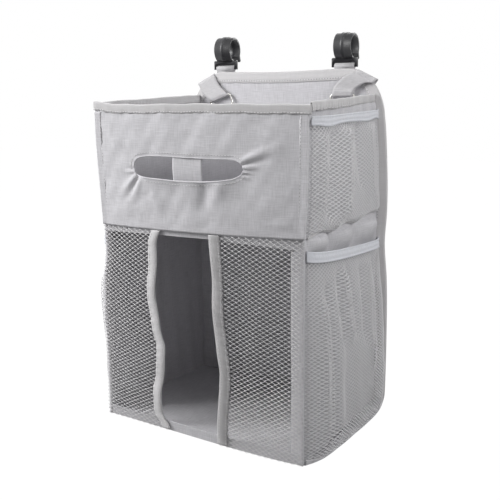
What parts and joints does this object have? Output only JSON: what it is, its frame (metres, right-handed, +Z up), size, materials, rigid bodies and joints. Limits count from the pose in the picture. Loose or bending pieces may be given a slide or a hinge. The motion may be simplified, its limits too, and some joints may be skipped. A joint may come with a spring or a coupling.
{
  "type": "crib organizer",
  "caption": "Grey fabric caddy that hangs on a crib rail by snap hooks, with a tissue slot, a lift-out divider, a netted lower compartment and elastic mesh pockets.",
  "frame": {"origin": "axis of the crib rail, halfway between the two snap hooks", "axes": "+Z up, +X to the right seen from the front, -Y towards the front"},
  "size_m": [0.3604, 0.2796, 0.5765],
  "materials": {
    "cloth": "light grey linen-look polyester oxford",
    "binding": "light grey folded polyester tape, stitched",
    "net": "light grey knitted polyester mesh",
    "elastic": "bluish grey ribbed elastic tape",
    "webbing": "light grey flat webbing",
    "board": "plain stiffening board, hidden in the cloth",
    "black_plastic": "black moulded acetal, satin",
    "nickel": "bright nickel-plated wire"
  },
  "bodies": {
    "organizer": {"back_panel": "cloth", "floor_panel": "cloth", "shelf_panel": "cloth", "front_panel": "cloth", "left_side_panel": "cloth", "right_side_panel": "cloth", "back_board": "board", "floor_board": "board", "shelf_board": "board", "back_binding": "binding", "front_rim_binding": "binding", "left_rim_binding": "binding", "left_corner_binding": "binding", "left_doorway_tape": "binding", "left_front_net": "net", "left_upper_pocket": "net", "left_lower_pocket": "net", "left_upper_elastic": "elastic", "left_lower_elastic": "elastic", "left_strap": "webbing", "left_hook_tab": "webbing", "left_ring_tab": "webbing", "left_strap_ring": "nickel", "right_rim_binding": "binding", "right_corner_binding": "binding", "right_doorway_tape": "binding", "right_front_net": "net", "right_upper_pocket": "net", "right_lower_pocket": "net", "right_upper_elastic": "elastic", "right_lower_elastic": "elastic", "right_strap": "webbing", "right_hook_tab": "webbing", "right_ring_tab": "webbing", "right_strap_ring": "nickel"},
    "divider": {"divider_panel": "cloth", "divider_board": "board", "divider_front_tab": "cloth", "divider_back_tab": "cloth"},
    "left_hook": {"left_hook": "black_plastic"},
    "right_hook": {"right_hook": "black_plastic"}
  },
  "joints": [
    {"name": "left_hook_turn", "type": "hinge", "parent": "organizer", "child": "left_hook", "pos_m": [-0.096, -0.005, -0.0268], "axis": [1, 0, 0], "range_deg": [-80, 60]},
    {"name": "right_hook_turn", "type": "hinge", "parent": "organizer", "child": "right_hook", "pos_m": [0.096, -0.005, -0.0268], "axis": [1, 0, 0], "range_deg": [-80, 60]},
    {"name": "divider_lift", "type": "slide", "parent": "organizer", "child": "divider", "axis": [0, 0, 1], "range_m": [0, 0.15]}
  ]
}
